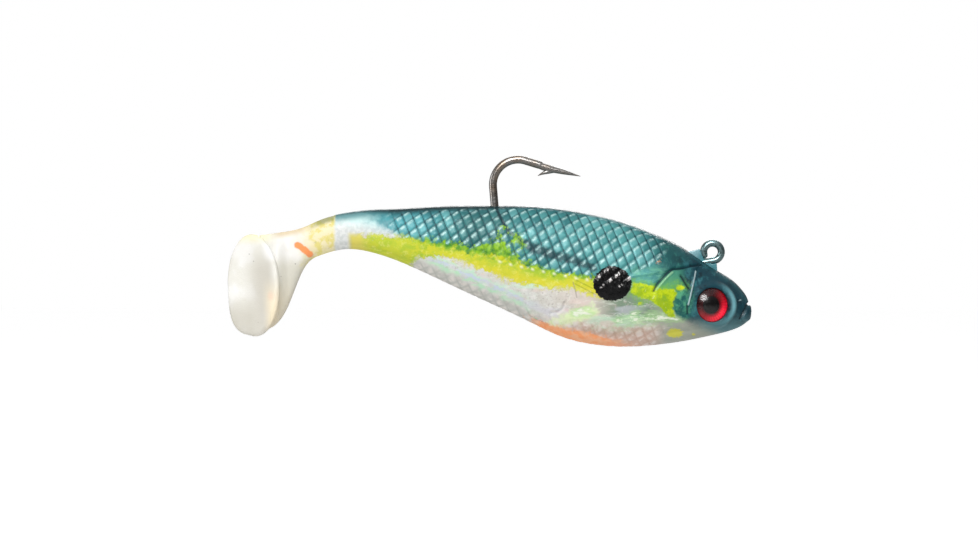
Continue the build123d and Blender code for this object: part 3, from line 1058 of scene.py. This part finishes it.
def stripe_colours(skin, x):
    """Chartreuse, greener where it overlaps the teal, straw coloured towards the tail."""
    lime = skin.mix(skin.noise(0.6, 5, (0.7, 1, 1), 0.7).ease(0.4, 0.62), (208, 210, 10), (164, 196, 12))
    patches = (skin.noise(0.55, 4, rough=0.7) - 0.5) * 6
    green = (skin.mark("green") + patches).ease(-0.6, 0.6)
    return skin.coats(lime, [
        (skin.mark("green").ease(-0.8, -2.6, 0.65) * x.ease(-54, -50), (226, 214, 24)),
        (x.ease(-56, -62, 0.5), (204, 218, 48)),
        (skin.noise(0.9, 4, rough=0.7).ease(0.53, 0.66, 0.45), (236, 234, 120)),
        (x.ease(-66, -69.5, 0.8), (232, 214, 100)),
        (green, skin.mix(skin.noise(0.9, 4).ease(0.35, 0.65), (62, 132, 26), (146, 196, 22))),
        (skin.mark("groove") * 0.35, (60, 110, 50)),
        (skin.mark("dots") * 0.9, (248, 250, 206)),
    ])


def cheek_colours(skin, x, z, fine, base):
    """The green gill cover, the lime dabs behind it, the fine lines of the head in painted shade and painted
    highlight, and a painted highlight on the eye's rim.
    """
    cover = skin.mark("cover").ease(0, 0.5) * x.ease(-5.2, -7.6)
    veil = (skin.mark("blob") + fine * 1.2).ease(-1.1, 0.3, 0.7)
    flush = skin.mark("flush").ease(3.6, 1) * skin.noise(0.5, 3).ease(0.35, 0.6, 0.9, 0.3)
    patchy = skin.mix(skin.noise(0.8, 4, rough=0.65).ease(0.42, 0.62), (30, 104, 96), (92, 176, 136))
    blob = (skin.mark("blob") + fine * 0.35).ease(-0.1, 0.3)
    lime = skin.mix(skin.noise(0.7, 4, rough=0.65).ease(0.42, 0.62), (158, 190, 8), (200, 220, 18))
    base = skin.coats(base, [
        (cover * 0.9, skin.mix(z.ease(-7.5, -4), (100, 172, 104), (66, 142, 116))),
        (veil * z.ease(-12, -9), (112, 176, 60)),
        (flush, patchy),
    ])
    lime = skin.coats(lime, [
        (skin.noise(0.6, 4, rough=0.7).ease(0.54, 0.66, 0.7), (116, 172, 44)),
        (skin.noise(1.1, 3).ease(0.64, 0.72, 0.5), (232, 244, 160)),
        (z.ease(-13.4, -14.4), (220, 216, 52)),
    ])
    base = skin.mix(blob * z.ease(-15, -14, 1, 0.92), base, lime)
    # gill, slit, mouth and film crease are painted shade in grooves; gill lip, cheek ridge and nostril are
    # painted highlights
    lines = [
        ("gill", 0.3, 0.9, (6, 42, 52)),
        ("slit", 0.3, 0.9, (6, 38, 46)),
        ("gill_lip", 0.34, 0.55, (168, 220, 170)),
        ("ridge", 0.24, 0.85, (196, 218, 222)),
        ("mouth", 0.3, 0.75, (6, 34, 42)),
        ("nostril", 0.26, 0.6, (176, 206, 210)),
        ("film_crease", 0.2, 0.5, (140, 128, 116)),
        ("scores", 0.2, 0.6, (150, 160, 0)),
    ]
    base = skin.coats(base, [
        (skin.mark(name).ease(reach, 0.05, strength), tint) for name, reach, strength, tint in lines
    ])
    # painted highlight on the rim round the eye
    return skin.mix(skin.mark("orbit_highlight") * 0.75, base, (128, 192, 202))


def tail_colours(skin, x, z, ragged):
    """Milky clear plastic with a straw coloured block at the wrist, cream rims, a few dust specks, painted
    shade over the paddle and a painted highlight on it.
    """
    tail = skin.mix(skin.noise(0.16, 3).ease(0.4, 0.6), (238, 236, 227), (249, 248, 244))
    lean = x + z * 0.07
    sole_shade = lean.ease(-92.5, -88.3) * lean.ease(-85, -87)
    low = lean.ease(-88.5, -91.5) * z.ease(-7.5, -13)
    rim = lean.ease(-88.6, -86.2) * z.ease(-4, -10.5)
    heel_shade = x.ease(-85.4, -83.4) * z.ease(-0.5, -3)
    glare = skin.distance((-85.6, -3.5, 0.4))
    web = x.ease(-86.5, -84) * skin.mark("back").ease(1.7, 0.3)
    blush = skin.distance((-85.4, -3.5, -8.6))
    straw = skin.mix(skin.noise(0.7, 4, rough=0.65).ease(0.42, 0.62), (250, 238, 194), (236, 222, 124))
    tail = skin.coats(tail, [
        # painted shade over the paddle's face, its lower part and the heel, then a painted highlight (glare)
        (sole_shade * z.ease(1.5, -4) * 0.8, (206, 201, 188)),
        (low * 0.7, (198, 193, 178)),
        (rim * 0.9, (255, 240, 208)),
        (heel_shade * 0.6, (214, 210, 192)),
        (glare.ease(3, 0.8, 0.7), (255, 255, 255)),
        (z.ease(1, 3.4) * x.ease(-84.5, -88), (255, 248, 208)),
        (web * 0.8, (232, 208, 160)),
        (blush.ease(1.6, 0.3, 0.5), (255, 206, 180)),
    ])
    block = (x + ragged * 0.9).ease(-81.2, -77.4)
    straw = skin.coats(straw, [
        (skin.noise(1.7, 3).ease(0.62, 0.72, 0.4), (160, 150, 80)),
        (z.ease(1.4, -1) * x.ease(-78, -75, 0.5, 0.1), (206, 200, 84)),
    ])
    dash = skin.mark("dash") + (skin.noise(1.2, 3) - 0.5) * 0.5
    specks = skin.math("LESS_THAN", skin.cells(0.4), 0.055)
    return skin.coats(tail, [
        (block, straw),
        (dash.ease(-0.1, 0.2), (255, 148, 66)),
        (specks * 0.6, (110, 100, 90)),
    ])


def skin_material(name):
    """Painted translucent plastic: teal back, lime stripe, pearl belly, orange throat, small marks."""
    skin = Recipe(bpy.data.materials.new(name))
    x, _, z = skin.parts(skin.place)
    below = skin.mark("below")
    ragged = (skin.noise(0.9, 5, rough=0.75) - 0.5) * 5
    fine = (skin.noise(2, 4) - 0.5) * 2.4

    base = belly_colours(skin, x, below)
    base = throat_colours(skin, x, below, ragged, base)
    streaks = (skin.noise(0.9, 4, (0.45, 1, 1.5), 0.7) - 0.52) * 4.5
    glint = skin.mark("glint") + streaks
    stem = x.ease(-58, -62) * skin.mark("stripe").ease(0.2, -0.4)
    painted = skin.mark("teal") + ragged * x.ease(-62, -55, 0.3, 0.45)
    spread = skin.most(x.ease(-60, -66, 1.5, 0.5), x.ease(-7, -3, 1.7, 0.5))
    painted = painted.ease(spread * -1, spread)
    stripe = skin.mark("stripe") + ragged * x.ease(-70.6, -67, 1, 0.1)
    dusty = skin.most(skin.noise(0.35, 3).ease(0.35, 0.65, 1, 0.25), x.ease(-68, -70, 0.8))
    on_stripe = stripe.ease(dusty * -1, dusty * 0.6, 0.96)
    base = skin.coats(base, [
        (glint.ease(-1.7, -0.2, 0.55), (172, 230, 140)),
        (glint.ease(-0.65, 0.1, 0.95), (250, 255, 236)),
        (stem, skin.mix(skin.noise(1.3, 4).ease(0.4, 0.6), (216, 220, 218), (232, 234, 232))),
        (painted, teal_colours(skin, x, z)),
        (on_stripe, stripe_colours(skin, x)),
    ])
    base = cheek_colours(skin, x, z, fine, base)

    ridge = skin.mark("back") + fine * 0.4
    wide = x.ease(-70, -61, 1, 0.6) * x.ease(-44, -36, 1.7, 2.3)
    edge = ridge.ease(wide * 1.25, wide * 0.5) * x.ease(-78, -60, 1, 0.3)
    spot = (skin.mark("spot") + fine * 0.35).ease(-0.06, 0.1)
    # painted glints on the scale crests under the black spot
    spot_glints = skin.noise(1.6, 4, rough=0.75).ease(0.47, 0.6) * skin.mark("crest").ease(0.1, 0.6)
    tail = (x + fine * 0.2).ease(-73.3, -74)
    rim = tail * (skin.mark("back").ease(1.6, 0.6) * x.ease(-79.5, -76))
    base = skin.coats(base, [
        ((skin.mark("fleck") + fine).ease(-0.1, 0.5), (214, 156, 116)),
        (edge * x.ease(3, -6, 0.95, 0.3), (12, 38, 42)),
        (spot, skin.mix(spot_glints, (3, 3, 4), (206, 202, 200))),
        (tail, tail_colours(skin, x, z, ragged)),
        (rim * 0.7, (112, 126, 60)),
    ])

    under_teal = skin.mark("teal").ease(-1, 0.5, 0.97, 0.88)
    opacity = skin.most(under_teal, on_stripe * 0.97, x.ease(-9, -4, 0.97), spot) * tail.ease(0, 1, 0.84, 1)
    metal = painted * stripe.ease(0.2, -0.2) * x.ease(-62, -56, 0.12)
    rough = skin.noise(1.2, 3).ease(0.3, 0.7, 0.5, 0.36) - spot * 0.2
    grain = skin.noise(3.5, 3) + skin.noise(0.8, 2) * 1.5
    return skin.surface(
        Base_Color=base, Metallic=metal, Roughness=rough, Alpha=opacity, Specular_IOR_Level=0.32,
        Coat_Weight=0.08, Coat_Roughness=0.1, Normal=skin.bump(grain, 4e-5),
    )


def hook_material():
    """Black nickel: dark, glossy, with faint brown tarnish and fine draw marks."""
    steel = Recipe(bpy.data.materials.new("hook_steel"))
    x = steel.parts(steel.place)[0]
    tone = steel.mix(steel.noise(0.35, 3).ease(0.4, 0.7), (150, 147, 144), (150, 134, 118))
    # teal near the loop: partly paint overspray, partly a painted reflection of the teal body
    tone = steel.mix(x.ease(-12, -6) * 0.75, tone, (120, 160, 164))
    rough = steel.noise(1.4, 3, (0.4, 2, 2)).ease(0.3, 0.7, 0.34, 0.24)
    normal = steel.bump(steel.noise(1.4, 3, (0.5, 2, 2)), 2e-6)
    return steel.surface(Base_Color=tone, Metallic=1, Roughness=rough, Normal=normal)


def lead_material():
    """Dull cast lead with a grainy skin."""
    lead = Recipe(bpy.data.materials.new("ballast_lead"))
    place = lead.node("ShaderNodeTexCoord").outputs["Object"]
    grain = lead.number("ShaderNodeTexNoise", {"Vector": place, "Scale": 900, "Detail": 4})
    tone = lead.mix(grain, (92, 94, 98), (140, 142, 146))
    rough, normal = grain.ease(0.3, 0.7, 0.7, 0.45), lead.bump(grain, 0.0001)
    return lead.surface(Base_Color=tone, Metallic=0.85, Roughness=rough, Normal=normal)


def foil_material():
    """Holographic film: silver that drifts between mint, pink and lilac."""
    film = Recipe(bpy.data.materials.new("holographic_film"))
    tone = film.mix(film.noise(0.3, 3).ease(0.4, 0.6), (226, 236, 226), (186, 232, 196))
    rough = film.noise(1.5, 2).ease(0.3, 0.7, 0.34, 0.18)
    normal = film.bump(film.cells(0.8, (1, 1, 1.5)), 0.00012)
    tone = film.coats(tone, [
        (film.noise(0.42, 2, (1, 1, 1.7)).ease(0.5, 0.64), (236, 198, 200)),
        (film.noise(0.55, 2, (1.4, 1, 1)).ease(0.55, 0.68), (214, 214, 240)),
    ])
    return film.surface(Base_Color=tone, Metallic=0.75, Roughness=rough, Normal=normal)


def iris_material():
    """Red foil print painted with light and shade, brightest at its lower front and darkest at its upper
    back, with spokes, a dark rim and a black pupil.
    """
    iris = Recipe(bpy.data.materials.new("iris_print"))
    radius, lit_side, spokes = (iris.mark(name) for name in ("radius", "lit_side", "spokes"))
    red = iris.mix(lit_side.ease(-0.7, 0.2), (44, 2, 8), (176, 2, 26))
    red = iris.coats(red, [
        (lit_side.ease(0.1, 0.95), (255, 18, 56)),
        ((spokes + iris.noise(2)).ease(-0.4, 1.4, 0.25), (120, 4, 20)),
        (radius.ease(2.6, PUPIL_R, 0.85), (60, 0, 8)),
        (radius.ease(3.05, 3.3, 0.8), (40, 0, 6)),
    ])
    tone = iris.mix(radius.ease(PUPIL_R + 0.06, PUPIL_R - 0.06), red, (6, 4, 5))
    metal = radius.ease(PUPIL_R, PUPIL_R + 0.1, 0.3)
    rough = iris.noise(2).ease(0.3, 0.7, 0.42, 0.32)
    return iris.surface(Base_Color=tone, Metallic=metal, Roughness=rough, Specular_IOR_Level=0.1)


def resin_material():
    """Clear domed resin: sees straight through, with a mirror gloss."""
    resin = Recipe(bpy.data.materials.new("eye_resin"))
    clear = resin.node("ShaderNodeBsdfTransparent", {"Color": (1, 0.98, 0.98, 1)}).outputs[0]
    gloss = resin.node("ShaderNodeBsdfGlossy", {"Roughness": 0.2}).outputs[0]
    front = 1 - resin.number("ShaderNodeNewGeometry", output="Backfacing")
    return resin.finish(resin.blend(resin.number("ShaderNodeFresnel", {"IOR": 1.62}) * front, clear, gloss))


def lug_material():
    """Pale clear plastic with a thin veil of teal paint, thicker towards the head."""
    lug = Recipe(bpy.data.materials.new("lug_plastic"))
    x, _, z = lug.parts(lug.place)
    veil = (x - z + lug.noise(0.9, 3) * 2).ease(-4.6, 0.2)
    tone = lug.mix(veil, (168, 210, 218), (78, 140, 150))
    rough = lug.noise(1.2).ease(0.3, 0.7, 0.34, 0.22)
    return lug.surface(Base_Color=tone, Roughness=rough, Alpha=0.95, Coat_Weight=0.4)


# --- assembly -------------------------------------------------------------------------------------------
def dress(item, material):
    """Gives a piece its one material."""
    item.data.materials.clear()
    item.data.materials.append(material)


body, stem = casting_skins()
tail = tail_skin()
for item, slot, nodes in (
    (body, "soft_plastic", ["trunk_casting"]),
    (stem, "soft_plastic", ["rear_casting"]),
    (tail, "clear_plastic", ["wrist_casting", "paddle_casting"]),
):
    dress(item, skin_material(item.name + "_paint"))
    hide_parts(*nodes)

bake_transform(body)
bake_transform(stem)
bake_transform(tail)

hook = hook_piece()
dress(hook, hook_material())
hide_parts("jig_hook")
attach(hook, "trunk")

lug = lug_piece()
dress(lug, lug_material())
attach(lug, "trunk")

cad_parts["ballast"].data.materials.clear()
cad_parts["ballast"].data.materials.append(lead_material())

film, print_ink, resin = foil_material(), iris_material(), resin_material()
for sign, side in ((1, "left"), (-1, "right")):
    sheet = foil_piece("film_" + side, sign)
    disc = turned("red_iris_" + side, sign, IRIS_PROFILE)
    dome = turned("resin_lens_" + side, sign, lens_profile())
    for item, material, slot, node in (
        (sheet, film, "foil", "foil_" + side),
        (disc, print_ink, "eye_print", "iris_" + side),
        (dome, resin, "eye_resin", "lens_" + side),
    ):
        dress(item, material)
        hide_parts(node)
        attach(item, "trunk")


# --- studio -----------------------------------------------------------------------------------------------
FLOOR_Z, FLOOR_HALF = -0.085, 6.0
VIEW_CENTRE = (-0.0436, 0.0, -0.0045)
CAMERA_FAR, LENS, SENSOR = 0.530, 100.0, 36.0
SKY_OVER, SKY_BELOW, SKY_FRONT, SKY_BEHIND = 0.24, 0.10, 0.05, 0.20


def studio_floor():
    """White paper under the fish, bright to the eye and dim as a light."""
    mesh = bpy.data.meshes.new("studio_floor")
    half = FLOOR_HALF
    corners = [(-half, -half), (half, -half), (half, half), (-half, half)]
    mesh.from_pydata([(x, y, FLOOR_Z) for x, y in corners], [], [[0, 1, 2, 3]])
    floor = linked("studio_floor", mesh)
    paper = Recipe(bpy.data.materials.new("studio_paper"))
    glowing = {"Emission_Color": (1, 1, 1, 1), "Emission_Strength": 0.62}
    bright = paper.principled(Base_Color=(0.92, 0.92, 0.92, 1), Roughness=0.9, **glowing)
    dim = paper.principled(Base_Color=(0.35, 0.35, 0.35, 1), Roughness=0.9)
    seen = paper.node("ShaderNodeLightPath").outputs["Is Camera Ray"]
    mesh.materials.append(paper.finish(paper.blend(seen, dim, bright)))
    floor.visible_shadow = False


def softbox(name, place, width, height, power):
    """An area light that faces the middle of the view."""
    lamp = bpy.data.lights.new(name, "AREA")
    lamp.shape, lamp.size, lamp.size_y = "ELLIPSE", width, height
    lamp.energy = power
    item = linked(name, lamp)
    item.location = place
    item.rotation_euler = (Vector(VIEW_CENTRE) - Vector(place)).to_track_quat("-Z", "Y").to_euler()


def studio_world():
    """White to the eye. As light it is bright overhead, fair behind and below, and dim in front."""
    sky = Recipe(bpy.data.worlds.new("studio"))
    bpy.context.scene.world = sky.owner
    _, deep, up = sky.parts(sky.node("ShaderNodeTexCoord").outputs["Generated"])
    light = up.ease(-0.1, 0.9, SKY_OVER) + up.ease(0, -0.8, SKY_BELOW)
    light = light + deep.ease(-0.6, 0.8, SKY_BEHIND, SKY_FRONT)
    seen = sky.node("ShaderNodeLightPath").outputs["Is Camera Ray"]
    white, glow = (
        sky.node("ShaderNodeBackground", {"Color": (1, 1, 1, 1), "Strength": strength}).outputs[0]
        for strength in (1, light)
    )
    sky.finish(sky.blend(seen, glow, white), "ShaderNodeOutputWorld")


def glow(name, strength, angle, turn):
    """A very wide sun, as soft as a lit ceiling or a light table."""
    lamp = bpy.data.lights.new(name, "SUN")
    lamp.energy, lamp.angle = strength, radians(angle)
    linked(name, lamp).rotation_euler = (radians(turn), 0, 0)


studio_floor()
studio_world()
glow("ceiling_glow", 0.35, 80, 12)
glow("table_glow", 3.3, 120, 160)
softbox("key_box", (-0.13, -0.80, 0.50), 0.46, 0.46, 7.2)
softbox("edge_box", (-0.70, -0.22, 0.10), 0.3, 0.5, 1.3)
softbox("back_box", (0.06, 0.86, 0.42), 0.5, 0.4, 3.4)

camera_data = bpy.data.cameras.new("camera")
camera_data.lens, camera_data.sensor_width = LENS, SENSOR
camera_data.clip_start, camera_data.clip_end = 0.01, 50.0
camera = linked("camera", camera_data)
camera.location = (VIEW_CENTRE[0], -CAMERA_FAR, VIEW_CENTRE[2])
camera.rotation_euler = (radians(90), 0, 0)
bpy.context.scene.camera = camera
bpy.context.scene.view_settings.view_transform = "Standard"
